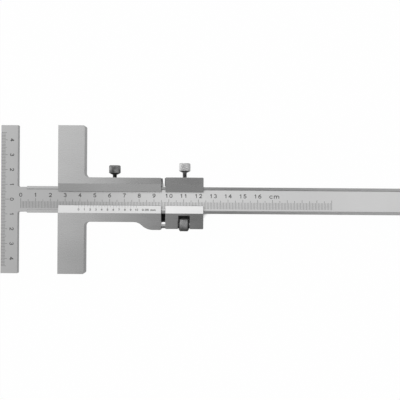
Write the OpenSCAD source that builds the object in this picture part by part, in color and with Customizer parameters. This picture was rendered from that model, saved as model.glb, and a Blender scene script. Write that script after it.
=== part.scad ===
// Marking caliper with a T-shaped beam, a sliding T stop and a fine-adjustment clamp.
// It lies on its back: +X along the beam, +Z out of the graduated face.
// The origin is at the middle of the whole caliper, on the surface that it lies on.

/* [T beam] */
// Overall length, from the rule's outer edge to the free end of the beam
overall_length = 270; // [180:1:400]
// Width of the beam
beam_width = 18; // [14:0.5:22]
// Thickness of the beam over its rails
beam_thickness = 4.5; // [3.5:0.1:5.6]
// Width of each ground rail along the beam's edges
rail_width = 1.9; // [1:0.1:3]
// Height of the rails above the graduated face
rail_height = 0.25; // [0.1:0.05:0.5]
// Length of the cross rule and of the T stop that matches it
cross_length = 100; // [60:1:160]
// Width of the cross rule
rule_width = 11.4; // [8:0.1:16]
// Length of the relieved neck between the rule and the rails
neck_length = 6.2; // [3:0.1:9]
// Depth of the neck's relief on each edge
neck_relief = 0.6; // [0.2:0.1:1]
// Radius in the corners between the neck and the rule
neck_fillet = 1; // [0.4:0.1:2]

/* [Bodies on the beam] */
// Thickness of the slider and the clamp, from back to face
body_thickness = 9; // [8.5:0.1:12]
// Thickness of the wall behind the beam
back_wall = 2.5; // [1.8:0.1:3.2]
// Upper edge of the window over the scale, above the beam's centreline
window_above = 5.5; // [4:0.1:6.5]
// Lower edge of the window over the scale, below the beam's centreline
window_below = 3.7; // [2:0.1:6]
// Width of the bevel above the window
upper_bevel = 5.4; // [3:0.1:6]
// Width of the bevel below the window, which carries the vernier
vernier_bevel = 5.2; // [4:0.1:6]
// Thickness left at the window's edges
window_lip = 0.35; // [0.2:0.05:0.6]

/* [Slider and stop] */
// Distance from the rule's outer edge to the stop face, which is the reading
reading = 38.9; // [26:0.05:160]
// Length of the slider along the beam
slider_length = 69.5; // [60:0.5:90]
// Height of the slider's upper edge above the beam's centreline
slider_above = 15.1; // [14.5:0.1:18]
// Depth of the slider's lower edge below the beam's centreline
slider_below = 14.8; // [13:0.1:17]
// Width of the T stop
stop_width = 18; // [12:0.5:24]
// Radius between the stop and the slider
stop_fillet = 3; // [1:0.1:5]
// Radius of the stop's outer corners
stop_corner = 1.2; // [0.4:0.1:2]
// Depth of the spindle boss below the beam's centreline
boss_below = 20; // [19.7:0.1:22]
// Length of the boss's flat lower edge
boss_flat = 5.5; // [2:0.5:9]
// Radius of the hollow part of the boss's curve
boss_hollow_r = 8; // [6:0.5:11]
// Radius of the round part of the boss's curve
boss_round_r = 11; // [8:0.5:13]

/* [Fine-adjustment clamp] */
// Gap between the slider and the clamp
clamp_gap = 2.8; // [2.6:0.1:8]
// Length of the clamp along the beam
clamp_length = 25.6; // [22:0.1:36]
// Height of the clamp's upper edge above the beam's centreline
clamp_above = 15.4; // [14.5:0.1:18]
// Depth of the clamp's lower edge below the beam's centreline
clamp_below = 19.3; // [19:0.1:22]
// Length of the notch that holds the nut
notch_length = 8.1; // [6.5:0.1:10]
// Distance from the clamp's left end to the notch
notch_offset = 8.4; // [6:0.1:11]
// Depth of the notch's top below the beam's centreline
notch_top = 10.3; // [10.3:0.1:11.4]
// Radius of the clamp's outer corners
clamp_corner = 0.7; // [0.2:0.1:1.5]
// Length of the guide tongue beyond the clamp's left end
tongue_length = 11; // [9:0.5:12]
// Thickness of the guide tongue
tongue_thickness = 1.2; // [0.8:0.1:1.5]
// Width of the guide tongue
tongue_width = 7.1; // [5:0.1:7.8]
// How far the tongue reaches behind the beam
tongue_overlap = 2; // [1.5:0.1:6]

/* [Spindle and nut] */
// Diameter of the spindle
spindle_d = 5; // [4:0.1:5.4]
// Depth of the spindle's axis below the beam's centreline
spindle_below = 16.5; // [16:0.1:16.5]
// Height of the spindle's axis above the back
spindle_height = 5; // [4.8:0.1:5.2]
// Length of the spindle inside the slider
spindle_seat = 9; // [6:0.5:12]
// Length of the spindle outside the slider
spindle_reach = 26.1; // [23:0.1:27]
// Chamfer at the spindle's free end
spindle_chamfer = 0.5; // [0.2:0.1:0.8]
// Diameter of the pin that holds the spindle
pin_d = 1.5; // [1:0.1:2]
// How far the pin is sunk into the slider's back
pin_sink = 0.2; // [0.1:0.1:0.5]
// Metal left between the pin's hole and the slider's face
pin_cover = 1; // [0.6:0.1:1.5]
// Diameter of the knurled nut
nut_d = 9; // [7.5:0.1:9.4]
// Length of the cone at each end of the nut
nut_cone_length = 1; // [0.3:0.1:1.5]
// Diameter of the nut's end faces, where those cones end
nut_face_d = 6.4; // [5.8:0.1:7]

/* [Lock screws and gib springs] */
// Diameter of the screws' shanks
screw_d = 3; // [2:0.1:4]
// Diameter of the knurled heads
head_d = 8; // [6:0.1:8.8]
// Height of the knurled heads
head_height = 6.2; // [4:0.1:10]
// Height of the cone under the knurled heads
head_cone = 0.9; // [0.4:0.1:1.5]
// Width of the shoulder where that cone meets the shank
head_shoulder = 0.4; // [0.1:0.1:0.8]
// Small chamfer at the knurled heads' inner ends
head_inner_chamfer = 0.35; // [0.1:0.05:0.6]
// Chamfer at the knurled heads' outer ends
head_chamfer = 0.6; // [0.2:0.1:1]
// Length of the screws' thinner tips
tip_length = 1.2; // [0.8:0.1:2]
// How much smaller the tips' radius is than the shanks'
tip_relief = 0.4; // [0.2:0.05:0.6]
// Distance from the stop face to the slider's screw
slider_screw_x = 37.7; // [24:0.1:60]
// Length of shank showing above the slider
slider_screw_show = 2.1; // [1:0.1:5]
// Distance from the clamp's left end to its screw
clamp_screw_x = 12.8; // [8:0.1:18]
// Length of shank showing above the clamp
clamp_screw_show = 3.5; // [1:0.1:6]
// Thickness of the gib springs
spring_thickness = 0.4; // [0.3:0.05:0.5]
// Height of a spring's hooked end in its pocket, above the guideway's ceiling
spring_hook = 2.4; // [1:0.1:3]
// Distance from a spring's bent tip down to its body's upper edge
spring_tip_drop = 0.3; // [0.1:0.1:2]
// How far the slider's spring stands out from the slider at the foot of its bent end
slider_spring_foot = 1.6; // [1.2:0.05:1.65]
// How far it stands out at the tip
slider_spring_tip = 0.95; // [0.7:0.05:1.1]
// How far the clamp's spring stands out from the clamp at the foot of its bent end
clamp_spring_foot = 0.7; // [0.65:0.05:0.75]

/* [Clearances] */
// Gap between the beam and the guideways, on each flat side
slide_gap = 0.05; // [0.03:0.01:0.1]
// Radial gap around the turning screws and the sliding spindle
running_gap = 0.05; // [0.02:0.01:0.08]
// Radial gap around the spindle's fixed end and its pin
seat_gap = 0.02; // [0.01:0.01:0.04]
// Gap between the springs and the beam's edge when the screws are let go
spring_gap = 0.3; // [0.2:0.05:0.4]
// Space above a spring for it to rise in
spring_lift = 0.45; // [0.35:0.05:0.6]
// Gap between a spring's bent ends and the walls beside them
spring_end_gap = 0.15; // [0.1:0.05:0.2]
// Gap between a spring's sides and the guideway
spring_side_gap = 0.2; // [0.1:0.05:0.4]
// Gap between a screw's tip and its spring
tip_gap = 0.05; // [0.02:0.01:0.1]
// Gap around the guide tongue
tongue_gap = 0.3; // [0.2:0.05:0.35]
// Gap past the tongue's end, which lets the slider close up to the clamp
tongue_end_gap = 0.8; // [0.6:0.1:2]
// Wall left between the tongue's recess and the guideway
tongue_cover = 0.4; // [0.3:0.05:0.6]
// Gap at each end of the nut
nut_end_gap = 0.5; // [0.1:0.05:0.8]

/* [Hidden] */
$fn = 96;
over = 1;

// Places along X
rule_x = -overall_length / 2;
stop_x = rule_x + reading;
slider_end_x = stop_x + slider_length;
clamp_x = slider_end_x + clamp_gap;
clamp_end_x = clamp_x + clamp_length;
notch_x = clamp_x + notch_offset;

// Heights in Z
beam_z = back_wall + slide_gap;
face_z = beam_z + beam_thickness - rail_height;
guide_top_z = beam_z + beam_thickness + slide_gap;
lip_z = guide_top_z + window_lip;
screw_z = beam_z + beam_thickness / 2;

// Places in Y
beam_edge = beam_width / 2;
spring_y = beam_edge + spring_gap;
guide_ceiling = spring_y + spring_thickness + spring_lift;
tip_y = spring_y + spring_thickness + tip_gap;
spring_z = beam_z + spring_side_gap;
spring_width = beam_thickness - 2 * spring_side_gap;
tongue_y = tongue_overlap - beam_edge - tongue_width;
tongue_z = back_wall - tongue_cover - tongue_gap - tongue_thickness;

pin_top = body_thickness - pin_cover;

// Slope at which the boss's two arcs meet
boss_drop = boss_below - slider_below;
boss_angle = acos(1 - boss_drop / (boss_hollow_r + boss_round_r));

// Pockets at the slider's left end and the clamp's right end, where the springs are hooked
spring_pocket = spring_thickness + 2 * spring_end_gap;
pocket_top = guide_ceiling + spring_hook;

// Fills the corner between two walls that run from the origin along +X and +Y
module corner_fill(r) {
    difference() {
        square(r);
        translate([r, r]) circle(r);
    }
}

// What rounding takes from a corner at the origin whose edges run along +X and +Y
module corner_cut(r) {
    difference() {
        translate([-over, -over]) square(r + over);
        translate([r, r]) circle(r);
    }
}

// Extrudes an outline, drawn in Y and Z, along X
module along_x(x, length) {
    translate([x, 0, 0])
        rotate([90, 0, 90])
            linear_extrude(length)
                children();
}

// Cylinder along X
module rod_x(x, y, z, r, length) {
    translate([x, y, z])
        rotate([0, 90, 0])
            cylinder(r = r, h = length);
}

// Cylinder along Y
module rod_y(x, y, z, r, length) {
    translate([x, y, z])
        rotate([-90, 0, 0])
            cylinder(r = r, h = length);
}

// Outline of the beam with its cross rule, from the rule's outer edge
module beam_outline() {
    neck_edge = beam_edge - neck_relief;
    translate([0, -cross_length / 2])
        square([rule_width, cross_length]);
    translate([rule_width - over, -neck_edge])
        square([neck_length + 2 * over, 2 * neck_edge]);
    translate([rule_width + neck_length, -beam_edge])
        square([overall_length - rule_width - neck_length, beam_width]);
    for (side = [0, 1])
        mirror([0, side])
            translate([rule_width, neck_edge])
                corner_fill(neck_fillet);
}

module t_beam() {
    color("silver") {
        translate([rule_x, 0, beam_z])
            linear_extrude(beam_thickness - rail_height)
                beam_outline();
        rail_x = rule_x + rule_width + neck_length;
        for (y = [-beam_edge, beam_edge - rail_width])
            translate([rail_x, y, face_z - over])
                cube([-rule_x - rail_x, rail_width, rail_height + over]);
    }
}

// Space for the beam and the spring, and the window with its two bevels
module guideway(x, length) {
    along_x(x - over, length + 2 * over) {
        translate([-beam_edge - slide_gap, back_wall])
            square([beam_edge + slide_gap + guide_ceiling, guide_top_z - back_wall]);
        polygon([
            [-window_below, face_z - over],
            [-window_below, lip_z],
            [-window_below - vernier_bevel, body_thickness],
            [-window_below - vernier_bevel, body_thickness + over],
            [window_above + upper_bevel, body_thickness + over],
            [window_above + upper_bevel, body_thickness],
            [window_above, lip_z],
            [window_above, face_z - over]
        ]);
    }
}

// Spindle boss below the slider, with its S-shaped edge, from the slider's right end
module boss_outline() {
    hollow_run = boss_hollow_r * sin(boss_angle);
    round_run = boss_round_r * sin(boss_angle);
    boss_length = boss_flat + round_run + hollow_run;
    join_below = slider_below + boss_hollow_r * (1 - cos(boss_angle));
    difference() {
        translate([-boss_length, -boss_below])
            square([boss_length, boss_below]);
        translate([-boss_length, -slider_below - boss_hollow_r])
            circle(boss_hollow_r);
        difference() {
            translate([-boss_length - over, -boss_below - over])
                square([
                    boss_length - boss_flat + over,
                    boss_below - join_below + over
                ]);
            translate([-boss_flat, boss_round_r - boss_below])
                circle(boss_round_r);
        }
    }
}

// Outline of the slider with its T stop, from the stop face
module slider_outline() {
    difference() {
        union() {
            translate([0, -cross_length / 2])
                square([stop_width, cross_length]);
            translate([0, -slider_below])
                square([slider_length, slider_above + slider_below]);
            translate([stop_width, slider_above])
                corner_fill(stop_fillet);
            translate([stop_width, -slider_below])
                rotate(-90)
                    corner_fill(stop_fillet);
            translate([slider_length, 0])
                boss_outline();
        }
        translate([stop_width, cross_length / 2])
            rotate(180)
                corner_cut(stop_corner);
        translate([stop_width, -cross_length / 2])
            rotate(90)
                corner_cut(stop_corner);
        translate([slider_length, slider_above])
            rotate(180)
                corner_cut(clamp_corner);
        translate([slider_length, -boss_below])
            rotate(90)
                corner_cut(clamp_corner);
    }
}

// Pocket for a spring's hooked end, open to the guideway and past the body's end
module hook_pocket(x) {
    translate([x, guide_ceiling - over, back_wall])
        cube([spring_pocket + over, spring_hook + over, guide_top_z - back_wall]);
}

module slider_body() {
    color("darkgray")
        difference() {
            translate([stop_x, 0, 0])
                linear_extrude(body_thickness)
                    slider_outline();
            guideway(stop_x, slider_length);
            hook_pocket(stop_x - over);
            screw_hole(stop_x + slider_screw_x, slider_above);
            rod_x(
                slider_end_x - spindle_seat, -spindle_below, spindle_height,
                spindle_d / 2 + seat_gap, spindle_seat + over
            );
            pin_rod(pin_d / 2 + seat_gap, -over, pin_top);
            // recess in the back for the clamp's tongue
            translate([
                clamp_x - tongue_length - tongue_end_gap,
                tongue_y - tongue_gap,
                -over
            ])
                cube([
                    tongue_length + tongue_end_gap + over,
                    tongue_width + 2 * tongue_gap,
                    over + tongue_z + tongue_thickness + tongue_gap
                ]);
        }
}

// Hole along Y for a lock screw, from the guideway to a body's upper edge
module screw_hole(x, body_above) {
    rod_y(
        x, beam_edge, screw_z,
        screw_d / 2 + running_gap, body_above - beam_edge + over
    );
}

// Cylinder across the spindle's fixed end
module pin_rod(r, bottom, top) {
    translate([slider_end_x - spindle_seat / 2, -spindle_below, bottom])
        cylinder(r = r, h = top - bottom);
}

// Outline of the clamp, from its left end
module clamp_outline() {
    difference() {
        translate([0, -clamp_below])
            square([clamp_length, clamp_above + clamp_below]);
        translate([notch_offset, -clamp_below - over])
            square([notch_length, clamp_below + over - notch_top]);
        for (corner = [
            [0, -clamp_below, 0],
            [clamp_length, -clamp_below, 90],
            [clamp_length, clamp_above, 180],
            [0, clamp_above, 270]
        ])
            translate([corner[0], corner[1]])
                rotate(corner[2])
                    corner_cut(clamp_corner);
    }
}

module clamp_body() {
    color("gray") {
        difference() {
            translate([clamp_x, 0, 0])
                linear_extrude(body_thickness)
                    clamp_outline();
            guideway(clamp_x, clamp_length);
            hook_pocket(clamp_end_x - spring_pocket);
            screw_hole(clamp_x + clamp_screw_x, clamp_above);
            rod_x(
                clamp_x - over, -spindle_below, spindle_height,
                spindle_d / 2 + running_gap, clamp_length + 2 * over
            );
        }
        translate([clamp_x - tongue_length, tongue_y, tongue_z])
            cube([tongue_length + over, tongue_width, tongue_thickness]);
    }
}

// Strip along the beam's edge with both ends bent up; each end is given by
// the X of its foot, the X of its tip and the Y of its tip
module gib_spring(left, right) {
    color("dimgray")
        translate([0, 0, spring_z])
            linear_extrude(spring_width)
                polygon([
                    [left[0], spring_y],
                    [right[0], spring_y],
                    [right[1], right[2]],
                    [right[1] - spring_thickness, right[2]],
                    [right[0] - spring_thickness, spring_y + spring_thickness],
                    [left[0] + spring_thickness, spring_y + spring_thickness],
                    [left[1] + spring_thickness, left[2]],
                    [left[1], left[2]]
                ]);
}

// A spring's end that is hooked in a pocket
function hooked_end(x) = [x, x, pocket_top - spring_lift];

module slider_gib_spring() {
    gib_spring(
        hooked_end(stop_x + spring_end_gap),
        [
            slider_end_x + slider_spring_foot,
            slider_end_x + slider_spring_tip,
            slider_above - spring_tip_drop
        ]
    );
}

module clamp_gib_spring() {
    gib_spring(
        [
            clamp_x - clamp_spring_foot,
            clamp_x - spring_end_gap - spring_thickness,
            clamp_above - spring_tip_drop
        ],
        hooked_end(clamp_end_x - spring_end_gap)
    );
}

// Screw with a knurled head; its tip presses on a gib spring
module lock_screw(x, body_above, show) {
    shank_r = screw_d / 2;
    tip_r = shank_r - tip_relief;
    head_r = head_d / 2;
    head_y = body_above + show - tip_y;
    knurl_y = head_y + head_cone + head_inner_chamfer;
    head_end_y = head_y + head_height;
    translate([x, tip_y, screw_z])
        rotate([-90, 0, 0])
            rotate_extrude()
                polygon([
                    [0, 0],
                    [tip_r, 0],
                    [tip_r, tip_length - tip_relief],
                    [shank_r, tip_length],
                    [shank_r, head_y],
                    [shank_r + head_shoulder, head_y],
                    [head_r - head_inner_chamfer, head_y + head_cone],
                    [head_r, knurl_y],
                    [head_r, head_end_y - head_chamfer],
                    [head_r - head_chamfer, head_end_y],
                    [0, head_end_y]
                ]);
}

module slider_lock_screw() {
    color("slategray")
        lock_screw(stop_x + slider_screw_x, slider_above, slider_screw_show);
}

module clamp_lock_screw() {
    color("lightslategray")
        lock_screw(clamp_x + clamp_screw_x, clamp_above, clamp_screw_show);
}

module fine_adjust_spindle() {
    length = spindle_seat + spindle_reach;
    color("lightgray")
        difference() {
            translate([slider_end_x - spindle_seat, -spindle_below, spindle_height])
                rotate([0, 90, 0])
                    rotate_extrude()
                        polygon([
                            [0, 0],
                            [spindle_d / 2, 0],
                            [spindle_d / 2, length - spindle_chamfer],
                            [spindle_d / 2 - spindle_chamfer, length],
                            [0, length]
                        ]);
            pin_rod(pin_d / 2 + seat_gap, 0, body_thickness);
        }
}

module spindle_retaining_pin() {
    color("dimgray")
        pin_rod(pin_d / 2, pin_sink, pin_top - pin_sink);
}

module fine_adjust_nut() {
    length = notch_length - 2 * nut_end_gap;
    bore_r = spindle_d / 2 + running_gap;
    color("slategray")
        translate([notch_x + nut_end_gap, -spindle_below, spindle_height])
            rotate([0, 90, 0])
                rotate_extrude()
                    polygon([
                        [bore_r, 0],
                        [nut_face_d / 2, 0],
                        [nut_d / 2, nut_cone_length],
                        [nut_d / 2, length - nut_cone_length],
                        [nut_face_d / 2, length],
                        [bore_r, length]
                    ]);
}

t_beam();
slider_body();
slider_gib_spring();
slider_lock_screw();
clamp_body();
clamp_gib_spring();
clamp_lock_screw();
fine_adjust_spindle();
spindle_retaining_pin();
fine_adjust_nut();
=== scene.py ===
import math

import bmesh
import bpy
import numpy as np
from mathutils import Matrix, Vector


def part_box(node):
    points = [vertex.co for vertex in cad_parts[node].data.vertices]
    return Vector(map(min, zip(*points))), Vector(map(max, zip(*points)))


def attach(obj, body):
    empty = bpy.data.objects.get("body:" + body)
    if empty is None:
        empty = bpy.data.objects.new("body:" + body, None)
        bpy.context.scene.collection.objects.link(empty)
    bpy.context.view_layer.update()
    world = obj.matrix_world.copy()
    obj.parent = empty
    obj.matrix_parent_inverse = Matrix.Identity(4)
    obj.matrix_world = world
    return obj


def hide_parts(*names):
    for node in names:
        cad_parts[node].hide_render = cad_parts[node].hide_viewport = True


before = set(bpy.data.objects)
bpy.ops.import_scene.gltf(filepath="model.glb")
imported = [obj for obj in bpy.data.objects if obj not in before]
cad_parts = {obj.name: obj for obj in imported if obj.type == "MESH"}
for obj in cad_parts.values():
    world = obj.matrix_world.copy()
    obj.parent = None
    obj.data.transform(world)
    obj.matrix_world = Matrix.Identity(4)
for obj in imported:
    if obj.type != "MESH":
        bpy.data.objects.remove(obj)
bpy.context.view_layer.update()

MM = 0.001


def box_mm(node):
    """The low and the high corner of a CAD node's box, in millimetres."""
    return [np.array(corner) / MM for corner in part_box(node)]


# Places and sizes that the CAD solids have, in millimetres
BEAM_LOW, BEAM_HIGH = box_mm("t_beam")
SLIDER_HIGH = box_mm("slider_body")[1]
CLAMP_HIGH = box_mm("clamp_body")[1]
SPINDLE_LOW, SPINDLE_HIGH = box_mm("fine_adjust_spindle")
NUT_LOW, NUT_HIGH = box_mm("fine_adjust_nut")
PIN_LOW, PIN_HIGH = box_mm("spindle_retaining_pin")
PIN_CENTRE = (PIN_LOW + PIN_HIGH) / 2
BEAM_EDGE = 9.0
RAIL_HEIGHT = 0.25
FACE_Z = BEAM_HIGH[2] - RAIL_HEIGHT
RAIL_WIDTH = 1.9
RULE_WIDTH = 11.4
NECK_LENGTH = 6.2
SHOULDER = BEAM_LOW[0] + RULE_WIDTH + NECK_LENGTH
CLAMP_LENGTH = 25.6
CLAMP_LEFT = CLAMP_HIGH[0] - CLAMP_LENGTH
WINDOW_ABOVE = 5.5
WINDOW_BELOW = 3.7
VERNIER_BEVEL = 5.2
LIP_Z = 7.45
BODY_TOP = SLIDER_HIGH[2]
TONGUE_BELOW = 2.4

# Depths of the knurls on the lock screws and on the nut, in millimetres
KNURL_DEPTH = 0.35
NUT_KNURL_DEPTH = 0.2

# How far a point may lie from a face or bevel and still count as on it, in millimetres
FACE_SLACK = 0.02
BEVEL_SLACK = 0.1
LIP_SLACK = 0.15

# Cells of the grinding scratches and of the satin chrome's frost, per metre along X, Y and Z
SCRATCHES = (90, 5200, 5200)
FROST = (7000, 7000, 7000)


class Value:
    """A number that a node gives. Arithmetic on it adds Math nodes to the same tree."""

    def __init__(self, sheet, socket):
        self.sheet = sheet
        self.socket = socket

    def maths(self, operation, *terms):
        node = self.sheet.tree.nodes.new("ShaderNodeMath")
        node.operation = operation
        for place, term in enumerate(terms):
            self.sheet.feed(node.inputs[place], term)
        return Value(self.sheet, node.outputs[0])

    def __add__(self, other):
        return self.maths("ADD", self, other)

    def __radd__(self, other):
        return self.maths("ADD", other, self)

    def __sub__(self, other):
        return self.maths("SUBTRACT", self, other)

    def __rsub__(self, other):
        return self.maths("SUBTRACT", other, self)

    def __mul__(self, other):
        return self.maths("MULTIPLY", self, other)

    def __rmul__(self, other):
        return self.maths("MULTIPLY", other, self)

    def __lt__(self, other):
        return self.maths("LESS_THAN", self, other)

    def __gt__(self, other):
        return self.maths("GREATER_THAN", self, other)

    def size(self):
        return self.maths("ABSOLUTE", self)

    def root(self):
        return self.maths("SQRT", self)

    def least(self, other):
        return self.maths("MINIMUM", self, other)

    def most(self, other):
        return self.maths("MAXIMUM", self, other)

    def rise(self, low, high):
        """0 below low and 1 above high, with a smooth step in between."""
        node = self.sheet.tree.nodes.new("ShaderNodeMapRange")
        node.interpolation_type = "SMOOTHSTEP"
        self.sheet.feed(node.inputs["Value"], self)
        node.inputs["From Min"].default_value = low
        node.inputs["From Max"].default_value = high
        return Value(self.sheet, node.outputs["Result"])

    def bell(self, spread):
        """1 at 0, falling off on both sides as exp(-v * v / (2 * spread * spread))."""
        return self.maths("POWER", math.e, self * self * (-0.5 / spread**2))


class Sheet:
    """The node tree of one material or of the world."""

    def __init__(self, holder):
        holder.use_nodes = True
        self.tree = holder.node_tree
        self.tree.nodes.clear()

    def feed(self, socket, value):
        if isinstance(value, Value):
            self.tree.links.new(value.socket, socket)
        else:
            socket.default_value = value

    def node(self, kind, settings=None, out=0, **sockets):
        """Any node: its settings first, then its sockets by name, with _ for a space."""
        made = self.tree.nodes.new("ShaderNode" + kind)
        for name, value in (settings or {}).items():
            setattr(made, name, value)
        for name, value in sockets.items():
            self.feed(made.inputs[name.replace("_", " ")], value)
        return Value(self, made.outputs[out])

    def ramp(self, value, stops):
        """A colour ramp of greys, from (position, grey) pairs."""
        made = self.tree.nodes.new("ShaderNodeValToRGB")
        keys = made.color_ramp.elements
        while len(keys) < len(stops):
            keys.new(0.5)
        for key, (position, grey) in zip(keys, stops):
            key.position = position
            key.color = (grey, grey, grey, 1)
        self.feed(made.inputs[0], value)
        return Value(self, made.outputs[0])

    def place(self, output="Object"):
        """X, Y and Z of the point, in millimetres where the output is Object."""
        where = self.node("TexCoord", out=output)
        scale = 1 / MM if output == "Object" else 1
        split = self.tree.nodes.new("ShaderNodeSeparateXYZ")
        self.feed(split.inputs[0], where)
        return [Value(self, split.outputs[axis]) * scale for axis in range(3)]

    def grain(self, scale, detail=2.0, seed=(0, 0, 0)):
        """Noise whose cells are stretched: scale gives cells per metre along X, Y and Z."""
        where = self.node("TexCoord", out="Object")
        mapped = self.node("Mapping", Vector=where, Scale=scale, Location=seed)
        return self.node("TexNoise", Vector=mapped, Scale=1.0, Detail=detail, Roughness=0.6)

    def grey(self, value):
        """A colour whose three parts are the same value."""
        return self.node("CombineXYZ", X=value, Y=value, Z=value)

    def finish(self, shader, kind="OutputMaterial"):
        made = self.tree.nodes.new("ShaderNode" + kind)
        self.tree.links.new(shader.socket, made.inputs["Surface"])


def metal(name, build):
    """A metal whose build(sheet) gives its grey, its roughness, the height that its bump reads,
    and the bump's depth in metres."""
    material = bpy.data.materials.new(name)
    sheet = Sheet(material)
    shade, roughness, height, depth = build(sheet)
    bump = sheet.node("Bump", Strength=1.0, Distance=depth, Height=height)
    surface = sheet.node(
        "BsdfPrincipled",
        Base_Color=sheet.grey(shade),
        Metallic=1.0,
        Roughness=roughness,
        Normal=bump,
    )
    sheet.finish(surface)
    return material


def ground(sheet, grey):
    """Surface-ground steel: long fine scratches, slow patches, and rougher milled side walls that
    painted shade darkens.
    """
    scratches = sheet.grain(SCRATCHES, 3.0)
    patches = sheet.grain((45, 60, 60), 1.0, (3, 1, 2))
    upright = sheet.place("Normal")[2]
    walls = 1 - upright.size().rise(0.25, 0.7)
    # Painted shade: the upright side walls are darkened by 30 percent.
    shade = grey * (0.95 + 0.1 * patches) * (0.94 + 0.12 * scratches) * (1 - 0.3 * walls)
    roughness = 0.2 + 0.1 * scratches + 0.05 * patches + 0.22 * walls
    return shade, roughness, scratches, 0.0000025


def beam_steel(sheet):
    """Ground rails and edges round a satin chromed scale face. Painted shade darkens the face by the
    rule and in a narrow line beside the rails, painted light lifts it a little at the far end, and
    painted shade darkens the lower rail near the middle of the beam."""
    shade, roughness, scratches, depth = ground(sheet, 0.6)
    x, y, z = sheet.place()
    inside = (y.size() < BEAM_EDGE - RAIL_WIDTH - FACE_SLACK) * (z > FACE_Z - FACE_SLACK)
    rule = x < SHOULDER
    upright = sheet.place("Normal")[2] > 0.9
    satin = inside.most(rule) * upright
    # Painted shade on the lower rail near the middle of the beam.
    shade = shade * (1 - 0.22 * (x - 14).bell(16) * (y < 0))
    frost = sheet.grain(FROST, 2.0)
    patches = sheet.grain((30, 45, 45), 1.0, (5, 2, 7))
    # Painted shade and light on the satin face: darker towards the rule, a little lighter at the far
    # end.
    chrome = 0.59 + 0.27 * x.rise(-95, -15) + 0.05 * x.rise(70, 125)
    chrome = chrome * (0.97 + 0.06 * patches) * (0.96 + 0.08 * frost)
    # Painted shade in a narrow line on the face beside each rail.
    corner = y.size().rise(6.7, 6.95) * inside * (x > SHOULDER)
    chrome = chrome * (1 - 0.35 * corner)
    shade = shade + (chrome - shade) * satin
    roughness = roughness + (0.54 + 0.08 * frost - roughness) * satin
    height = scratches + (frost - scratches) * satin
    return shade, roughness, height, depth


def slider_tone(x, y, flat, upper):
    """Painted shade on the slider: it darkens towards the clamp, towards its stop's lower end, and
    on the left end of the bevel above the window."""
    ends = 1 - 0.1 * (0 - y).rise(18, 38) - 0.12 * upper * (1 - x.rise(-88, -62))
    return ends * (1 + flat * (0.04 - 0.16 * x.rise(-75, -30)))


def clamp_tone(x, y, flat, upper):
    """Painted shade on the clamp: a little darker on the bevel above its window and below the beam."""
    return 1 - 0.1 * upper - (0.05 + 0.07 * x.rise(-16, -6)) * flat * (y < 0)


def body_steel(sheet, grey, painted_shade, bevel_grey, painted_bevel_light=0.0, painted_shadow_left=None):
    """Ground steel with a satin chromed bevel below the window. The third argument paints shade on it,
    by the place, the flat face and the bevel above the window, and the bevel's gain paints light on
    the bevel towards +X. The tongue, left of the x given last, is painted nearly black as a painted
    shadow."""
    shade, roughness, scratches, depth = ground(sheet, grey)
    x, y, z = sheet.place()
    edge = WINDOW_BELOW + VERNIER_BEVEL
    upright = sheet.place("Normal")[2] > 0.5
    flat = (z > BODY_TOP - FACE_SLACK) * upright
    upper = (y > WINDOW_ABOVE - BEVEL_SLACK) * (z > LIP_Z - LIP_SLACK) * (z < BODY_TOP - FACE_SLACK)
    upper = upper * upright
    # Painted shade from the third argument.
    shade = shade * painted_shade(x, y, flat, upper)
    bevel = (y < BEVEL_SLACK - WINDOW_BELOW) * (y > -edge) * (z > LIP_Z - LIP_SLACK)
    bevel = bevel * (z < BODY_TOP - FACE_SLACK) * upright
    frost = sheet.grain(FROST, 2.0, (1, 4, 2))
    # Painted light: the gain brightens the bevel towards +X.
    chrome = bevel_grey + 0.05 * frost + painted_bevel_light * x.rise(-65, -30)
    shade = shade + (chrome - shade) * bevel
    roughness = roughness + (0.36 + 0.06 * frost - roughness) * bevel
    height = scratches + (frost - scratches) * bevel
    if painted_shadow_left is not None:
        # Painted shadow: the tongue in the gap between slider and clamp is painted nearly black.
        black = (x < painted_shadow_left - 0.05) * (z < TONGUE_BELOW)
        shade = shade * (1 - 0.93 * black)
        roughness = roughness + 0.25 * black
    return shade, roughness, height, depth


def turned_steel(sheet, grey, rough=0.3, wear=0.28, groove_shade=None):
    """Turned steel with fine tool marks, and patches of wear that lighten and darken it.
    The last argument is 1 where a groove takes painted shade."""
    marks = sheet.grain((3500, 3500, 3500), 2.0, (2, 2, 5))
    patches = sheet.grain((330, 330, 330), 1.0, (8, 1, 1))
    shade = grey * (1 + wear * (patches - 0.5)) * (0.95 + 0.1 * marks)
    roughness = rough + 0.14 * patches
    if groove_shade is not None:
        # Painted shade in the grooves.
        shade = shade * (1 - 0.8 * groove_shade)
        roughness = roughness + 0.25 * groove_shade
    return shade, roughness, marks, 0.000003


def knurled_steel(sheet, grey, node, axis, wear, depth=KNURL_DEPTH):
    """Knurled steel of a turned piece. Painted shade darkens the grooves: it fades in over the lowest
    half of the knurl, by the distance from the piece's own axis."""
    low, high = box_mm(node)
    centre = (low + high) / 2
    across = [k for k in range(3) if k != "xyz".index(axis)]
    place = sheet.place()
    first, second = (place[k] - float(centre[k]) for k in across)
    radius = (first * first + second * second).root()
    crest = float(high[across[1]] - low[across[1]]) / 2
    groove_shade = 1 - radius.rise(crest - 1.1 * depth, crest - 0.5 * depth)
    return turned_steel(sheet, grey, 0.3, wear, groove_shade * (radius > crest - 1.5 * depth))


def worn_edge(sheet):
    """Broken edges, smoother than the faces beside them, and painted darker as a painted shade along the
    rims.
    """
    marks = sheet.grain((900, 900, 900), 2.0)
    return 0.32 + 0.08 * marks, 0.28 + 0.1 * marks, marks, 0.000002


def ink(name, grey):
    """Dark paint that fills the engraved lines, with a slightly uneven sheen."""
    material = bpy.data.materials.new(name)
    sheet = Sheet(material)
    flecks = sheet.grain((4000, 4000, 4000), 2.0)
    surface = sheet.node(
        "BsdfPrincipled",
        Base_Color=sheet.grey(grey * (0.7 + 0.6 * flecks)),
        Roughness=0.45 + 0.2 * flecks,
    )
    sheet.finish(surface)
    return material


# Every metal and ink on the caliper

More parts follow.
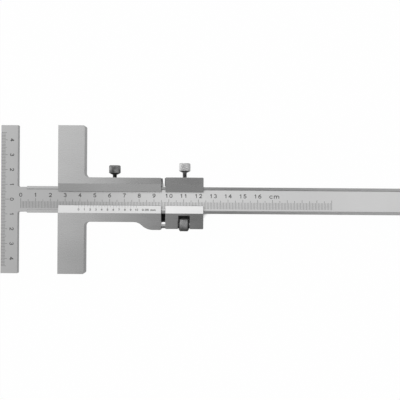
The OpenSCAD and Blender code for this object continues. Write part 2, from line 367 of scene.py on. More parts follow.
BEAM_METAL = metal("beam_ground_and_satin", beam_steel)
SLIDER_METAL = metal(
    "slider_ground", lambda sheet: body_steel(sheet, 0.59, slider_tone, 0.59, painted_bevel_light=0.07)
)
# The clamp takes the slider's ground steel and chrome in other greys: painted shade darkens its flats
# and painted light brightens its bevel.
CLAMP_METAL = metal(
    "clamp_ground",
    lambda sheet: body_steel(sheet, 0.46, clamp_tone, 0.77, painted_shadow_left=CLAMP_LEFT),
)
EDGE_METAL = metal("broken_edge", worn_edge)
SLIDER_SCREW_METAL = metal(
    "slider_screw_knurled",
    lambda sheet: knurled_steel(sheet, 0.32, "slider_lock_screw", "y", wear=2.2),
)
CLAMP_SCREW_METAL = metal(
    "clamp_screw_knurled",
    lambda sheet: knurled_steel(sheet, 0.9, "clamp_lock_screw", "y", wear=0.4),
)
NUT_METAL = metal(
    "nut_knurled",
    lambda sheet: knurled_steel(
        sheet, 0.39, "fine_adjust_nut", "x", wear=1.0, depth=NUT_KNURL_DEPTH
    ),
)
SPINDLE_METAL = metal("spindle_bright", lambda sheet: turned_steel(sheet, 0.74, rough=0.2))
# Painted shadow: the slider's spring is painted nearly black where it stands in the gap.
SLIDER_SPRING_METAL = metal("spring_steel_painted_shadow", lambda sheet: turned_steel(sheet, 0.06, rough=0.4))
CLAMP_SPRING_METAL = metal("spring_steel_rolled", lambda sheet: turned_steel(sheet, 0.42))
PIN_METAL = metal("pin_ground", lambda sheet: turned_steel(sheet, 0.5, rough=0.25))
# Painted shadow: the lock screws' shanks and head undersides are painted dark.
BLACK_SHANK = metal("shank_painted_shadow", lambda sheet: turned_steel(sheet, 0.07, rough=0.35))
GREY_SHANK = metal("shank_grey_painted_shadow", lambda sheet: turned_steel(sheet, 0.24, rough=0.35))
SCALE_INK = ink("scale_ink", 0.05)
VERNIER_INK = ink("vernier_ink", 0.07)


class Shell:
    """Points and faces of one piece, in millimetres, gathered from grids and blocks."""

    def __init__(self):
        self.points = np.zeros((0, 3))
        self.faces = []
        self.paints = []

    def add(self, points, faces, paint=0):
        start = len(self.points)
        self.points = np.vstack([self.points, points])
        self.faces += [[corner + start for corner in face] for face in faces]
        self.paints += [paint] * len(faces)

    def grid(self, points, ends="caps", paint=0):
        """Quads over a grid of points: each joins row i and column j to the next row and column.
        The last column joins the first. The end rows get a face each, or join each other in a loop."""
        rows, columns = points.shape[:2]
        index = np.arange(rows * columns).reshape(rows, columns)
        near = index if ends == "loop" else index[:-1]
        far = np.roll(index, -1, axis=0) if ends == "loop" else index[1:]
        turn = np.roll(near, -1, axis=1), np.roll(far, -1, axis=1)
        quads = np.stack([near, turn[0], turn[1], far], axis=-1).reshape(-1, 4)
        faces = quads.tolist()
        if ends == "caps":
            faces += [index[0][::-1].tolist(), index[-1].tolist()]
        self.add(points.reshape(-1, 3), faces, paint)

    def blocks(self, low, high):
        """A box for each pair of rows of low and high corners."""
        low = np.asarray(low, float)
        high = np.asarray(high, float)
        corners = np.array(
            [[0, 0, 0], [1, 0, 0], [1, 1, 0], [0, 1, 0], [0, 0, 1], [1, 0, 1], [1, 1, 1], [0, 1, 1]]
        )
        sides = np.array(
            [[0, 3, 2, 1], [4, 5, 6, 7], [0, 1, 5, 4], [1, 2, 6, 5], [2, 3, 7, 6], [3, 0, 4, 7]]
        )
        points = np.where(corners[None], high[:, None], low[:, None]).reshape(-1, 3)
        starts = len(corners) * np.arange(len(low))
        self.add(points, (sides[None] + starts[:, None, None]).reshape(-1, 4).tolist())

    def piece(self, name, body, materials, lay=None, crease=35):
        """The Blender object, riding on a CAD body. lay maps its points first, if given."""
        points = self.points if lay is None else lay(self.points)
        mesh = bpy.data.meshes.new(name)
        mesh.from_pydata((points * MM).tolist(), [], self.faces)
        mesh.polygons.foreach_set("material_index", self.paints)
        return finish_mesh(mesh, name, body, materials, crease)


def finish_mesh(mesh, name, body, materials, crease):
    """Turns the faces outwards, smooths what bends by less than crease degrees, and makes the object."""
    bm = bmesh.new()
    bm.from_mesh(mesh)
    bmesh.ops.recalc_face_normals(bm, faces=bm.faces)
    bm.to_mesh(mesh)
    bm.free()
    mesh.polygons.foreach_set("use_smooth", [True] * len(mesh.polygons))
    mesh.set_sharp_from_angle(angle=math.radians(crease))
    for material in materials:
        mesh.materials.append(material)
    piece = bpy.data.objects.new(name, mesh)
    bpy.context.scene.collection.objects.link(piece)
    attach(piece, body)
    return piece


# Bends in degrees: a flat is merged up to the first, an edge beside a flat stays sharp from the
# second, and an edge is broken from the third
FLAT_WITHIN = 0.5
BENT_FROM = 2
SHARP_FROM = 30

# Corners of a CAD solid that lie closer than this are one, in millimetres
MERGE_DISTANCE = 0.002


def keep_flats(mesh):
    """Marks an edge sharp where it bends by over 2 degrees and either face looks up or down, so
    that the flats and bevels stay flat. The upright walls of the fillets stay smooth."""
    bm = bmesh.new()
    bm.from_mesh(mesh)
    for edge in bm.edges:
        if len(edge.link_faces) == 2 and edge.calc_face_angle() > math.radians(BENT_FROM):
            if max(abs(face.normal.z) for face in edge.link_faces) > 0.5:
                edge.smooth = False
    bm.to_mesh(mesh)
    bm.free()


def add_bevel(piece, angle, width):
    """A round of the given width in millimetres along every edge that bends by over the angle."""
    bevel = piece.modifiers.new("broken edges", "BEVEL")
    bevel.limit_method = "ANGLE"
    bevel.angle_limit = math.radians(angle)
    bevel.width = width * MM
    bevel.segments = 2
    return bevel


def split_flats(bm, x):
    """Cuts every face at a plane across X, and marks the cut's edges as seams."""
    everything = bm.verts[:] + bm.edges[:] + bm.faces[:]
    cut = bmesh.ops.bisect_plane(bm, geom=everything, plane_co=(x * MM, 0, 0), plane_no=(1, 0, 0))
    for part in cut["geom_cut"]:
        if isinstance(part, bmesh.types.BMEdge):
            part.seam = True


def broken_edges(node, name, body, material, width, split_x=None):
    """A CAD solid with its sharp edges broken: doubles merged, each flat made one face, and then
    a round of the given width in millimetres along every edge that bends by over 30 degrees.
    The flats stay split at split_x, so that a hole there needs no edge to a rounded corner."""
    mesh = bpy.data.meshes.new(name)
    bm = bmesh.new()
    bm.from_mesh(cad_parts[node].data)
    bmesh.ops.remove_doubles(bm, verts=bm.verts, dist=MERGE_DISTANCE * MM)
    if split_x is not None:
        split_flats(bm, split_x)
    bmesh.ops.dissolve_limit(
        bm, angle_limit=math.radians(FLAT_WITHIN), verts=bm.verts, edges=bm.edges, delimit={"SEAM"}
    )
    bm.to_mesh(mesh)
    bm.free()
    for extra in [a.name for a in mesh.attributes if a.name in ("custom_normal", "sharp_face")]:
        mesh.attributes.remove(mesh.attributes[extra])
    piece = finish_mesh(mesh, name, body, [material, EDGE_METAL], SHARP_FROM)
    keep_flats(mesh)
    bevel = add_bevel(piece, SHARP_FROM, width)
    bevel.use_clamp_overlap = False
    bevel.material = 1
    flats = piece.modifiers.new("flat faces", "WEIGHTED_NORMAL")
    flats.keep_sharp = True
    flats.weight = 100
    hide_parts(node)


# Engraved lines and numerals

# Heights of the bars over their face and under it, and of one stroke over the stroke before
LINE_PROUD = 0.012
LINE_SUNK = 0.03
STROKE_RISE = 0.002


def curve(centre, radii, start, end, steps=14):
    """Points on an ellipse from one angle to another, in degrees."""
    angle = np.radians(np.linspace(start, end, steps))
    return np.stack(
        [centre[0] + radii[0] * np.cos(angle), centre[1] + radii[1] * np.sin(angle)], axis=1
    )


def straight(*corners):
    """Strokes between corners, one for each straight line."""
    return [np.array(pair, float) for pair in zip(corners, corners[1:])]


def bend(first, middle, last, steps=12):
    """A quadratic curve from first to last that leaves and arrives along lines to middle."""
    t = np.linspace(0, 1, steps)[:, None]
    first, middle, last = (np.array(p, float) for p in (first, middle, last))
    return (1 - t) ** 2 * first + 2 * t * (1 - t) * middle + t**2 * last


# Strokes of each character in a cell 1 high, and the cell's width
GLYPHS = {
    "0": (0.56, [curve((0.28, 0.5), (0.28, 0.5), 0, 360, 29)]),
    "1": (0.56, straight((0.12, 0.78), (0.32, 1), (0.32, 0))),
    "2": (0.56, [curve((0.28, 0.71), (0.27, 0.29), 165, -35),
                 bend((0.5, 0.545), (0.4, 0.4), (0.02, 0))]
          + straight((0.02, 0), (0.56, 0))),
    "3": (0.56, [curve((0.27, 0.76), (0.24, 0.24), 150, -90),
                 curve((0.27, 0.265), (0.28, 0.265), 90, -150)]),
    "4": (0.6, straight((0.43, 0), (0.43, 1), (0, 0.3), (0.6, 0.3))),
    "5": (0.56, straight((0.5, 1), (0.1, 1), (0.06, 0.56))
          + [curve((0.26, 0.32), (0.29, 0.32), 132, -145)]),
    "6": (0.56, [curve((0.28, 0.3), (0.28, 0.3), 0, 360, 25),
                 bend((0.46, 1), (0.02, 0.78), (0, 0.3))]),
    "7": (0.56, straight((0, 1), (0.56, 1)) + [bend((0.56, 1), (0.28, 0.6), (0.2, 0))]),
    "8": (0.56, [curve((0.28, 0.76), (0.22, 0.24), 0, 360, 25),
                 curve((0.28, 0.265), (0.28, 0.265), 0, 360, 25)]),
    "9": (0.56, [curve((0.28, 0.7), (0.28, 0.3), 0, 360, 25),
                 bend((0.1, 0), (0.54, 0.22), (0.56, 0.7))]),
    "c": (0.5, [curve((0.27, 0.32), (0.26, 0.32), 45, 315)]),
    "m": (0.86, straight((0, 0), (0, 0.64)) + straight((0.4, 0), (0.4, 0.42))
          + straight((0.8, 0), (0.8, 0.42))
          + [curve((0.2, 0.42), (0.2, 0.22), 180, 0, 10), curve((0.6, 0.42), (0.2, 0.22), 180, 0, 10)]),
    ".": (0.12, straight((0.06, 0.03), (0.06, 0.05))),
    " ": (0.3, []),
}


def bar(line, aside, low, high):
    """A grid for a bar along a line: four corners round each point, a step aside to each hand, at
    the low and the high height."""
    corners = [(line + aside, low), (line - aside, low), (line - aside, high), (line + aside, high)]
    return np.stack(
        [np.column_stack([place, np.full(len(line), z)]) for place, z in corners], axis=1
    )


# Points of a stroke's round end
END_POINTS = 4


def stroke(shell, points, width, proud):
    """A flat bar of the given width along a line of points, with round ends: the half width there
    falls as the sine of an angle while the bar runs on by its cosine. A closed line has no ends."""
    closed = np.allclose(points[0], points[-1])
    half = width / 2
    if closed:
        line = points[:-1]
        along = np.roll(line, -1, axis=0) - np.roll(line, 1, axis=0)
        along /= np.linalg.norm(along, axis=1)[:, None]
        reach = np.full(len(line), half)
    else:
        step = np.gradient(points, axis=0)
        step /= np.linalg.norm(step, axis=1)[:, None]
        angle = np.linspace(0.12, 1, END_POINTS) * math.pi / 2
        before = points[0] - step[0] * half * np.cos(angle)[:, None]
        after = points[-1] + step[-1] * half * np.cos(angle[::-1])[:, None]
        line = np.vstack([before[:-1], points, after[1:]])
        ends = np.sin(angle[:-1])
        reach = np.concatenate([ends, np.ones(len(points)), ends[::-1]]) * half
        first = np.repeat(step[:1], END_POINTS - 1, 0)
        last = np.repeat(step[-1:], END_POINTS - 1, 0)
        along = np.vstack([first, step, last])
    aside = np.stack([-along[:, 1], along[:, 0]], axis=1) * reach[:, None]
    shell.grid(bar(line, aside, -LINE_SUNK, proud), ends="loop" if closed else "caps")


def write(shell, word, centre, height, width, stretch=1.0, gap=0.26, turned=False):
    """Characters centred on a point, with a gap between them in heights. turned lays them with
    their tops towards +u. Each stroke stands a hair over the last, so that they don't lie in
    one plane where they cross."""
    cells = [GLYPHS[letter][0] for letter in word]
    start = -(sum(cells) + gap * (len(cells) - 1)) * height * stretch / 2
    for letter in word:
        cell, strokes = GLYPHS[letter]
        for order, points in enumerate(strokes):
            placed = points * (height * stretch, height) + (start, -height / 2)
            if turned:
                placed = np.stack([placed[:, 1], -placed[:, 0]], axis=1)
            stroke(shell, placed + centre, width, LINE_PROUD + STROKE_RISE * order)
        start += (cell + gap) * height * stretch


def ticks(shell, places, low, high, width, upright=True):
    """A thin bar at each place, from low to high across the scale."""
    places = np.asarray(places, float)
    low = np.broadcast_to(low, places.shape)
    high = np.broadcast_to(high, places.shape)
    depth = np.full(places.shape, -LINE_SUNK)
    proud = np.full(places.shape, LINE_PROUD)
    first = [places - width / 2, low, depth]
    last = [places + width / 2, high, proud]
    order = (0, 1, 2) if upright else (1, 0, 2)
    shell.blocks(
        np.stack([first[k] for k in order], axis=1), np.stack([last[k] for k in order], axis=1)
    )


def reach_of(marks, every_ten, every_five, every_one):
    """Length of each mark: the first for whole tens, the second for fives, else the last."""
    return np.where(marks % 10 == 0, every_ten, np.where(marks % 5 == 0, every_five, every_one))


def on_face(points):
    """Lays plane points on the beam's graduated face."""
    return points + (0, 0, FACE_Z)


BEVEL_RISE = math.atan2(BODY_TOP - LIP_Z, VERNIER_BEVEL)


def on_bevel(points):
    """Lays plane points on the vernier's bevel: v counts up from the window's lower edge along
    the slope, which falls towards the window."""
    u, v, proud = points.T
    c, s = math.cos(BEVEL_RISE), math.sin(BEVEL_RISE)
    return np.column_stack([u, v * c + proud * s - WINDOW_BELOW, -v * s + proud * c + LIP_Z])


# Where the marks and numerals stand, and their sizes, in millimetres. The lengths of marks are
# those of whole tens, of fives and of all others.
SCALE_ZERO = -121.6
SCALE_FOOT = -5.85
SCALE_MARKS = 210
SCALE_LENGTHS = (6.5, 5.9, 4.6)
NUMERAL_HEIGHT = 2.3
NUMERAL_STROKE = 0.45
NUMERAL_Y = 3.0
UNIT_X = SCALE_ZERO + 171.3
UNIT_Y = NUMERAL_Y + 0.1
UNIT_HEIGHT = NUMERAL_HEIGHT + 0.3
TICK_WIDTH = 0.2
RULE_REACH = 45
RULE_EDGE = 0.25
RULE_LENGTHS = (4.4, 3.7, 3.0)
RULE_ZERO_MARK = 5.4
RULE_NUMERAL_X = 7.4
VERNIER_ZERO = -82.25
VERNIER_PARTS = 20
VERNIER_STEP = 39 / VERNIER_PARTS
VERNIER_LONG = 1.8
VERNIER_SHORT = 1.3
VERNIER_TICK_WIDTH = 0.11
VERNIER_LIP = 0.05
VERNIER_NUMERAL_V = -3.0
VERNIER_NUMERAL_HEIGHT = 1.2
VERNIER_LEGEND_X = -34.9


def beam_scale():
    """Millimetre marks along the beam's lower edge, and a numeral over each centimetre."""
    lines = Shell()
    marks = np.arange(0, SCALE_MARKS + 1)
    tops = SCALE_FOOT + reach_of(marks, *SCALE_LENGTHS)
    ticks(lines, SCALE_ZERO + marks, SCALE_FOOT, tops, TICK_WIDTH)
    lines.piece("beam_scale_lines", "beam", [SCALE_INK], on_face)
    numerals = Shell()
    for centimetre in range(17):
        write(
            numerals, str(centimetre), (SCALE_ZERO + 10 * centimetre, NUMERAL_Y),
            NUMERAL_HEIGHT, NUMERAL_STROKE, stretch=1.27, gap=0.42,
        )
    write(
        numerals, "cm", (UNIT_X, UNIT_Y), UNIT_HEIGHT, NUMERAL_STROKE, stretch=1.5, gap=0.3
    )
    numerals.piece("beam_scale_numerals", "beam", [SCALE_INK], on_face)


def rule_scale():
    """Millimetre marks along the cross rule's outer edge, counted from the middle both ways."""
    lines = Shell()
    marks = np.arange(-RULE_REACH, RULE_REACH + 1)
    tips = BEAM_LOW[0] + reach_of(marks, *RULE_LENGTHS)
    tips[RULE_REACH] = BEAM_LOW[0] + RULE_ZERO_MARK
    ticks(lines, marks, BEAM_LOW[0] + RULE_EDGE, tips, TICK_WIDTH, upright=False)
    lines.piece("rule_scale_lines", "beam", [SCALE_INK], on_face)
    numerals = Shell()
    for centimetre in range(-4, 5):
        write(
            numerals, str(abs(centimetre)), (BEAM_LOW[0] + RULE_NUMERAL_X, 10 * centimetre),
            NUMERAL_HEIGHT, NUMERAL_STROKE, stretch=1.2, turned=True,
        )
    numerals.piece("rule_numerals", "beam", [SCALE_INK], on_face)


def vernier_scale():
    """Twenty parts over 39 mm on the slider's bevel, with a numeral at every second mark."""
    lines = Shell()
    marks = np.arange(VERNIER_PARTS + 1)
    feet = -np.where(marks % 2 == 0, VERNIER_LONG, VERNIER_SHORT)
    ticks(lines, VERNIER_ZERO + VERNIER_STEP * marks, feet, -VERNIER_LIP, VERNIER_TICK_WIDTH)
    lines.piece("vernier_lines", "slider", [VERNIER_INK], on_bevel)
    numerals = Shell()
    for tenth in range(11):
        write(
            numerals, str(tenth), (VERNIER_ZERO + 2 * VERNIER_STEP * tenth, VERNIER_NUMERAL_V),
            VERNIER_NUMERAL_HEIGHT, width=0.3, stretch=1.2,
        )
    write(
        numerals, "0.05 mm", (VERNIER_LEGEND_X, VERNIER_NUMERAL_V), VERNIER_NUMERAL_HEIGHT,
        width=0.32, stretch=1.4,
    )
    numerals.piece("vernier_numerals", "slider", [VERNIER_INK], on_bevel)


beam_scale()
rule_scale()
vernier_scale()


# Bodies, with their edges broken

broken_edges("t_beam", "t_beam_finished", "beam", BEAM_METAL, width=0.1)
broken_edges(
    "slider_body", "slider_finished", "slider", SLIDER_METAL, width=0.14, split_x=PIN_CENTRE[0]
)
broken_edges("clamp_body", "clamp_finished", "clamp", CLAMP_METAL, width=0.11)


# Turned pieces

# For a turned piece's axis: the way along it, and the two ways across it
ACROSS = {"x": ((1, 0, 0), (0, 1, 0), (0, 0, 1)), "y": ((0, 1, 0), (0, 0, 1), (1, 0, 0)),
          "z": ((0, 0, 1), (1, 0, 0), (0, 1, 0))}


def full_turn(count):
    """Angles of count points round a circle."""
    return np.linspace(0, 2 * math.pi, count, endpoint=False)


def around(start, axis, stations, radii, angles):
    """A turned surface: each point is start + station * along + radius * (cos(angle) * first
    + sin(angle) * second), where along is the axis, and first and second lie across it."""
    along, first, second = (np.array(v, float) for v in ACROSS[axis])
    ring = np.cos(angles)[:, None] * first + np.sin(angles)[:, None] * second
    return start + stations[:, None, None] * along + radii[:, :, None] * ring[None]


def outline(corners, step):
    """Stations and radii along straight lines between corners, in steps no longer than step."""
    corners = np.array(corners, float)
    gaps = np.diff(corners, axis=0)
    counts = np.maximum(np.ceil(np.abs(gaps[:, 0]) / step).astype(int), 1)
    rows = [
        corner + gap * (np.arange(count) / count)[:, None]
        for corner, gap, count in zip(corners, gaps, counts)
    ]
    path = np.vstack(rows + [corners[-1:]])
    return path[:, 0], path[:, 1]


def tooth(phase):
    """A V groove that repeats each turn of phase: 1 at its bottom and 0 at the crests between."""
    return np.abs(2 * (phase - np.floor(phase)) - 1)


def window(stations, low, high, fade):
    """1 between low and high, falling to 0 over fade outside them."""
    rise = np.clip((stations - low) / fade + 1, 0, 1)
    fall = np.clip((high - stations) / fade + 1, 0, 1)
    return (rise * fall)[:, None]


def thread(stations, angles, pitch, depth):
    """A right-hand thread: the groove climbs by one pitch in each turn."""
    return depth * tooth(stations[:, None] / pitch - angles[None] / (2 * math.pi))


KNURL_ANGLE = math.radians(35)


def diamonds(stations, angles, count, radius, depth):
    """Two sets of V grooves that lean by KNURL_ANGLE to the axis each way, cut to the deeper one."""
    turn = angles[None] * count / (2 * math.pi)
    climb = stations[:, None] * count * math.tan(KNURL_ANGLE) / (2 * math.pi * radius)
    return depth * np.maximum(tooth(turn + climb), tooth(turn - climb))


# The lock screws, from the CAD solids, in millimetres
SCREW_PITCH = 0.5
SCREW_GROOVE = 0.27
SHANK_R = 1.5
TIP_R = 1.1
TIP_LENGTH = 1.2
TIP_CHAMFER = 0.15
TIP_CONE = 0.4
HEAD_R = 4.0
HEAD_HEIGHT = 6.2
HEAD_SHOULDER = 0.4
HEAD_CONE = 0.9
HEAD_CHAMFER = 0.6
HEAD_CUP_R = 1.1
HEAD_CUP_DEPTH = 0.4
HEAD_TEETH = 26

# Points of a turned surface in one tooth or one pitch, and the step along a knurl in millimetres
TOOTH_POINTS = 8
PITCH_POINTS = 6
KNURL_STEP = 0.13


def lock_screw(node, name, body, metals):
    """A knurled head on a threaded shank, turned about +Y. Its outline follows the CAD solid's.
    Shank and head are a surface each, from corners of distance along the axis and radius, and
    each closes inside the other."""
    low, high = box_mm(node)
    start = np.array([(low[0] + high[0]) / 2, low[1], (low[2] + high[2]) / 2])
    end = high[1] - low[1]
    head = end - HEAD_HEIGHT
    angles = full_turn(HEAD_TEETH * TOOTH_POINTS)
    shank = [(0, 0.25), (0, TIP_R - TIP_CHAMFER), (TIP_CHAMFER, TIP_R),
             (TIP_LENGTH - TIP_CONE, TIP_R), (TIP_LENGTH, SHANK_R), (head, SHANK_R),
             (head, SHANK_R + HEAD_SHOULDER), (head + HEAD_CONE, HEAD_R - 0.35),
             (head + 1.0, HEAD_R - 0.5)]
    stations, radii = outline(shank, SCREW_PITCH / PITCH_POINTS)
    cut = thread(stations, angles, SCREW_PITCH, SCREW_GROOVE)
    cut = cut * window(stations, TIP_LENGTH, head - 0.5, 0.3)
    shell = Shell()
    # The shank and the underside of the head take the second metal, a painted shadow.
    shell.grid(around(start, "y", stations, radii[:, None] - cut, angles), paint=1)
    top = [(head + 0.8, 0.5), (head + 0.8, HEAD_R - 0.6), (head + 0.92, HEAD_R - 0.33),
           (head + 1.25, HEAD_R), (end - HEAD_CHAMFER, HEAD_R), (end - 0.12, HEAD_R - 0.48),
           (end, HEAD_R - 0.75), (end, HEAD_CUP_R), (end - 0.35, 0.5),
           (end - HEAD_CUP_DEPTH, 0.2)]
    stations, radii = outline(top, KNURL_STEP)
    knurl = diamonds(stations, angles, HEAD_TEETH, HEAD_R, KNURL_DEPTH)
    knurl = knurl * window(stations, head + 1.2, end - HEAD_CHAMFER, 0.25)
    knurl = knurl * (radii[:, None] > HEAD_R - 0.5)
    shell.grid(around(start, "y", stations, radii[:, None] - knurl, angles))
    piece = shell.piece(name, body, metals)
    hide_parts(node)


lock_screw(
    "slider_lock_screw", "slider_lock_screw_knurled", "slider_screw",
    [SLIDER_SCREW_METAL, BLACK_SHANK],
)
lock_screw(
    "clamp_lock_screw", "clamp_lock_screw_knurled", "clamp_screw",
    [CLAMP_SCREW_METAL, GREY_SHANK],
)


# The spindle and its nut, in millimetres. The spindle's axis passes through SPINDLE_AXIS.
SPINDLE_R = 2.5
SPINDLE_CHAMFER = 0.5
SPINDLE_PITCH = 0.5
SPINDLE_GROOVE = 0.25
SPINDLE_GAP = 0.05
SPINDLE_SIDES = 72
THREAD_START = CLAMP_LEFT + 1.8
SPINDLE_AXIS = (SPINDLE_LOW + SPINDLE_HIGH) / 2 * (0, 1, 1)
NUT_CONE = 1.0
NUT_FACE_R = 3.2
NUT_FACE_EDGE = 0.1
NUT_RIM_EDGE = 0.12
NUT_TEETH = 28


def spindle():
    """A rod along +X, threaded beyond its plain bright shank, with a chamfer at its free end."""
    length = SPINDLE_HIGH[0] - SPINDLE_LOW[0]
    shank = THREAD_START - SPINDLE_LOW[0]
    angles = full_turn(SPINDLE_SIDES)
    corners = [(0, 0.3), (0, SPINDLE_R), (length - SPINDLE_CHAMFER, SPINDLE_R),
               (length, SPINDLE_R - SPINDLE_CHAMFER), (length, 0.3)]
    stations, radii = outline(corners, SPINDLE_PITCH / PITCH_POINTS)
    cut = thread(stations, angles, SPINDLE_PITCH, SPINDLE_GROOVE)
    cut = cut * window(stations, shank, length, 0.3)
    radii = np.maximum(radii[:, None] - cut * (radii[:, None] > 1), 0.2)
    shell = Shell()
    shell.grid(around(SPINDLE_AXIS + (SPINDLE_LOW[0], 0, 0), "x", stations, radii, angles))
    piece = shell.piece("fine_adjust_spindle_threaded", "slider", [SPINDLE_METAL])
    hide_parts("fine_adjust_spindle")


def nut():
    """A knurled ring whose outline, of distance along the axis and radius, goes out along the
    knurled rim and back along the threaded bore."""
    length = NUT_HIGH[0] - NUT_LOW[0]
    rim = (NUT_HIGH[1] - NUT_LOW[1]) / 2
    bore = SPINDLE_R + SPINDLE_GAP
    angles = full_turn(NUT_TEETH * TOOTH_POINTS)
    outside = [(0, bore + SPINDLE_GROOVE), (0, NUT_FACE_R - NUT_FACE_EDGE), (0.06, NUT_FACE_R),
               (NUT_CONE - 0.1, rim - NUT_RIM_EDGE), (NUT_CONE + 0.05, rim),
               (length - NUT_CONE - 0.05, rim), (length - NUT_CONE + 0.1, rim - NUT_RIM_EDGE),
               (length - 0.06, NUT_FACE_R), (length, NUT_FACE_R - NUT_FACE_EDGE),
               (length, bore + SPINDLE_GROOVE)]
    stations, radii = outline(outside, KNURL_STEP)
    knurl = diamonds(stations, angles, NUT_TEETH, rim, NUT_KNURL_DEPTH)
    knurl = knurl * window(stations, NUT_CONE, length - NUT_CONE, 0.3) * (radii[:, None] > rim - 0.5)
    back, bores = outline([(0.1, bore), (length - 0.1, bore)], SPINDLE_PITCH / PITCH_POINTS)
    back, bores = back[::-1], bores[::-1]
    groove = SPINDLE_GROOVE - thread(back, angles, SPINDLE_PITCH, SPINDLE_GROOVE)
    shell = Shell()
    grid = around(
        SPINDLE_AXIS + (NUT_LOW[0], 0, 0), "x", np.concatenate([stations, back]),
        np.vstack([radii[:, None] - knurl, bores[:, None] + groove]), angles,
    )
    shell.grid(grid, ends="loop")
    piece = shell.piece("fine_adjust_nut_knurled", "nut", [NUT_METAL])
    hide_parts("fine_adjust_nut")


PIN_CONE = 0.2
PIN_SIDES = 48


def pin():
    """A ground dowel with a low cone at each end: as an angle grows to 90 degrees, the radius goes
    up as its sine and the distance from the end goes down as PIN_CONE times 1 less the sine."""
    radius = (PIN_HIGH[0] - PIN_LOW[0]) / 2
    height = PIN_HIGH[2] - PIN_LOW[2]
    sines = np.sin(np.linspace(0.15, math.pi / 2, 7))
    corners = [(PIN_CONE * (1 - sine), radius * sine) for sine in sines]
    ends = [(height - s, r) for s, r in corners[::-1]]
    stations, radii = np.array(corners + ends).T
    angles = full_turn(PIN_SIDES)
    foot = np.array([PIN_CENTRE[0], PIN_CENTRE[1], PIN_LOW[2]])
    shell = Shell()
    shell.grid(around(foot, "z", stations, np.repeat(radii[:, None], len(angles), 1), angles))
    piece = shell.piece("spindle_retaining_pin_domed", "slider", [PIN_METAL])
    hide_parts("spindle_retaining_pin")


spindle()
nut()
pin()


# Gib springs

# In millimetres. Each tip and foot is measured from its body's end, and goes with the CAD solid
# except SLIDER_TIP, which stands a little closer to the slider.
SPRING_THICKNESS = 0.4
SPRING_BEND = 0.6
SPRING_EDGE = 0.08
HOOK_TOP = 12.1
SLIDER_FOOT = 1.15
SLIDER_TIP = 0.55
CLAMP_TIP = 0.55


def leaf_spring(node, name, body, steel, corners):
    """A strip of spring steel along a line of corners in X and Y, each corner rounded by a
    quadratic curve, with the strip's half thickness laid off along the line's normal."""
    low, high = box_mm(node)
    corners = [np.array(corner, float) for corner in corners]
    path = [corners[0][None]]
    for before, corner, after in zip(corners, corners[1:], corners[2:]):
        into = (before - corner) / np.linalg.norm(before - corner)
        out = (after - corner) / np.linalg.norm(after - corner)
        path.append(bend(corner + SPRING_BEND * into, corner, corner + SPRING_BEND * out, 8))
    path.append(corners[-1][None])
    line = np.vstack(path)
    step = np.gradient(line, axis=0)
    step /= np.linalg.norm(step, axis=1)[:, None]
    aside = np.stack([-step[:, 1], step[:, 0]], axis=1) * SPRING_THICKNESS / 2
    shell = Shell()
    shell.grid(bar(line, aside, low[2], high[2]))
    piece = shell.piece(name, body, [steel], crease=30)
    bevel = add_bevel(piece, 50, SPRING_EDGE)
    bevel.harden_normals = True
    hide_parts(node)


def springs():
    """Both springs, from the CAD boxes: one end is hooked upright in a pocket, and the other
    leans back in the gap between the slider and the clamp, to its body's upper edge."""
    half = SPRING_THICKNESS / 2
    low, high = box_mm("slider_gib_spring")
    base = low[1] + half
    leaf_spring(
        "slider_gib_spring", "slider_gib_spring_leaf", "slider_gib", SLIDER_SPRING_METAL,
        [(low[0] + half, HOOK_TOP), (low[0] + half, base),
         (SLIDER_HIGH[0] + SLIDER_FOOT - half, base), (SLIDER_HIGH[0] + SLIDER_TIP - half, high[1])],
    )
    low, high = box_mm("clamp_gib_spring")
    leaf_spring(
        "clamp_gib_spring", "clamp_gib_spring_leaf", "clamp_gib", CLAMP_SPRING_METAL,
        [(CLAMP_LEFT - CLAMP_TIP + half, high[1]), (low[0] + half, base),
         (high[0] - half, base), (high[0] - half, HOOK_TOP)],
    )


springs()


# Floor, sky, lamp and camera

# The grey of white paper, to the camera
WHITE = 0.985

# Places and sizes in metres, the lamp's power in watts and the camera's sensor in millimetres
FLOOR_HALF = 3.0
FLOOR_Z = -0.00002
FLOOR_THICKNESS = 0.005
FLOOR_SHIFT = 0.5
LAMP_SIDE = 0.9
LAMP_POWER = 2.0
LAMP_PLACE = (-0.45, 0.95, 0.6)
CAMERA_HEIGHT = 0.44
CAMERA_X = -0.00053
CAMERA_Y = 0.00035
PICTURE_WIDTH = 0.2701
SENSOR_WIDTH = 36.0
ROLL = math.radians(0.42)


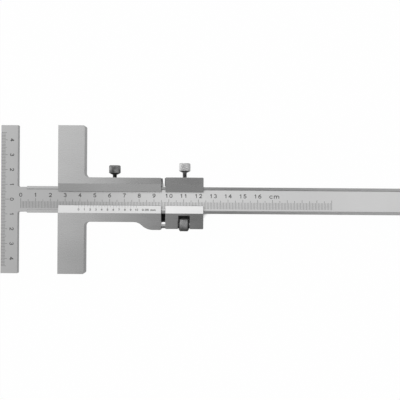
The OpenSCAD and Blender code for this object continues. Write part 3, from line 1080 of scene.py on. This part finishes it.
def white_paper():
    """Matte paper that glows white to the camera, except where little of the sky or of the window
    side reaches it, a painted shadow that right of x = -40 needs more open sky. Its matte grey is
    painted darker where the sky is hidden. Metal mirrors a part of that glow: little of it below
    the beam and right of the stop, a painted shadow, and none beyond 450 mm from the middle. Places
    are in millimetres."""
    paper = bpy.data.materials.new("white_paper")
    sheet = Sheet(paper)
    glow = sheet.node("Emission", Strength=1.0)
    straight_seen = sheet.node("LightPath", out="Is Camera Ray")
    mirrored = sheet.node("LightPath", out="Is Glossy Ray")
    through = sheet.node("LightPath", out="Is Transmission Ray")
    above = sheet.node("AmbientOcclusion", {"samples": 32}, out="AO", Distance=0.02)
    northward = sheet.node("CombineXYZ", X=0.0, Y=0.8, Z=0.6)
    window_side = sheet.node(
        "AmbientOcclusion", {"samples": 16}, out="AO", Distance=0.03, Normal=northward
    )
    x, y = sheet.place()[:2]
    # Painted shadow: right of x = -40 mm a spot needs more open sky to glow.
    open_air = (above - 0.12 * x.rise(-60, -40)).rise(0.12, 0.26)
    lit = open_air.most(window_side.rise(0.12, 0.18) * (y > 0))
    from_middle = (x * x + y * y).root()
    sheet_end = 1 - from_middle.rise(150, 450)
    # Painted shadow: the paper below the beam and right of the stop is dark in mirrors.
    near_side = (1 - y.rise(-30, -14)) * x.rise(-70, -50)
    reach = (1 - 0.92 * near_side) * sheet_end
    bounced = (mirrored + through).least(1.0) * 0.55 * reach
    # Painted shadow: the matte grey darkens where the sky is hidden.
    shade = 0.8 * (0.1 + 0.9 * above.rise(0.03, 0.3)) * (1 - mirrored * (1 - reach))
    matte = sheet.node("BsdfDiffuse", Color=sheet.grey(shade))
    glowing = straight_seen * WHITE * lit + (1 - straight_seen) * bounced
    mix = sheet.tree.nodes.new("ShaderNodeMixShader")
    for socket, value in zip(mix.inputs, (glowing, matte, glow)):
        sheet.feed(socket, value)
    sheet.finish(Value(sheet, mix.outputs[0]))
    return paper


def lay_floor():
    """A thin slab whose top lies just under the caliper."""
    west, east = FLOOR_SHIFT - FLOOR_HALF, FLOOR_SHIFT + FLOOR_HALF
    corners = [(west, -FLOOR_HALF), (east, -FLOOR_HALF), (east, FLOOR_HALF), (west, FLOOR_HALF)]
    mesh = bpy.data.meshes.new("floor")
    mesh.from_pydata(
        [corner + (FLOOR_Z,) for corner in corners]
        + [corner + (FLOOR_Z - FLOOR_THICKNESS,) for corner in corners],
        [], [(0, 1, 2, 3), (7, 6, 5, 4), (0, 4, 5, 1), (1, 5, 6, 2), (2, 6, 7, 3), (3, 7, 4, 0)],
    )
    floor = bpy.data.objects.new("floor", mesh)
    bpy.context.scene.collection.objects.link(floor)
    mesh.materials.append(white_paper())


def hang_sky():
    """A sky of greys by the way that a ray goes: it brightens from south to north and from east to
    west, with a dark patch straight above and another low in the south. The camera sees white."""
    world = bpy.data.worlds.new("studio")
    bpy.context.scene.world = world
    sky = Sheet(world)
    east, north, up = sky.place("Generated")
    level = sky.ramp(
        (north + 1) * 0.5,
        [(0.0, 0.45), (0.2, 0.56), (0.4, 0.64), (0.46, 0.68), (0.54, 0.84), (0.65, 0.89),
         (0.77, 0.92), (1.0, 1.0)],
    )
    overhead = (east - 0.02).bell(0.11) * (north + 0.03).bell(0.14) * up.rise(0.6, 0.9)
    room = east.bell(0.35) * (up - 0.42).bell(0.2) * (north < 0)
    light = (level * (1.03 - 0.5 * east) - 0.8 * overhead) * (1 - 0.95 * room)
    straight_seen = sky.node("LightPath", out="Is Camera Ray")
    backdrop = light + (WHITE - light) * straight_seen
    background = sky.node("Background", Color=sky.grey(backdrop), Strength=1.0)
    sky.finish(background, "OutputWorld")


def hang_lamp():
    """A soft square lamp to the north-west, turned towards the caliper's middle."""
    lamp = bpy.data.lights.new("softbox", "AREA")
    lamp.shape = "RECTANGLE"
    lamp.size = LAMP_SIDE
    lamp.size_y = LAMP_SIDE
    lamp.energy = LAMP_POWER
    softbox = bpy.data.objects.new("softbox", lamp)
    softbox.location = LAMP_PLACE
    softbox.rotation_mode = "QUATERNION"
    softbox.rotation_quaternion = softbox.location.to_track_quat("Z", "Y")
    bpy.context.scene.collection.objects.link(softbox)


def place_camera():
    """A camera that looks straight down, whose picture is PICTURE_WIDTH wide at the scale face."""
    data = bpy.data.cameras.new("camera")
    data.sensor_width = SENSOR_WIDTH
    data.lens = SENSOR_WIDTH * CAMERA_HEIGHT / PICTURE_WIDTH
    data.clip_start = 0.01
    data.clip_end = 20.0
    camera = bpy.data.objects.new("camera", data)
    camera.location = (CAMERA_X, CAMERA_Y, CAMERA_HEIGHT + FACE_Z * MM)
    camera.rotation_euler = (0, 0, ROLL)
    bpy.context.scene.collection.objects.link(camera)
    bpy.context.scene.camera = camera


lay_floor()
hang_sky()
hang_lamp()
place_camera()
bpy.context.scene.view_settings.view_transform = "Standard"
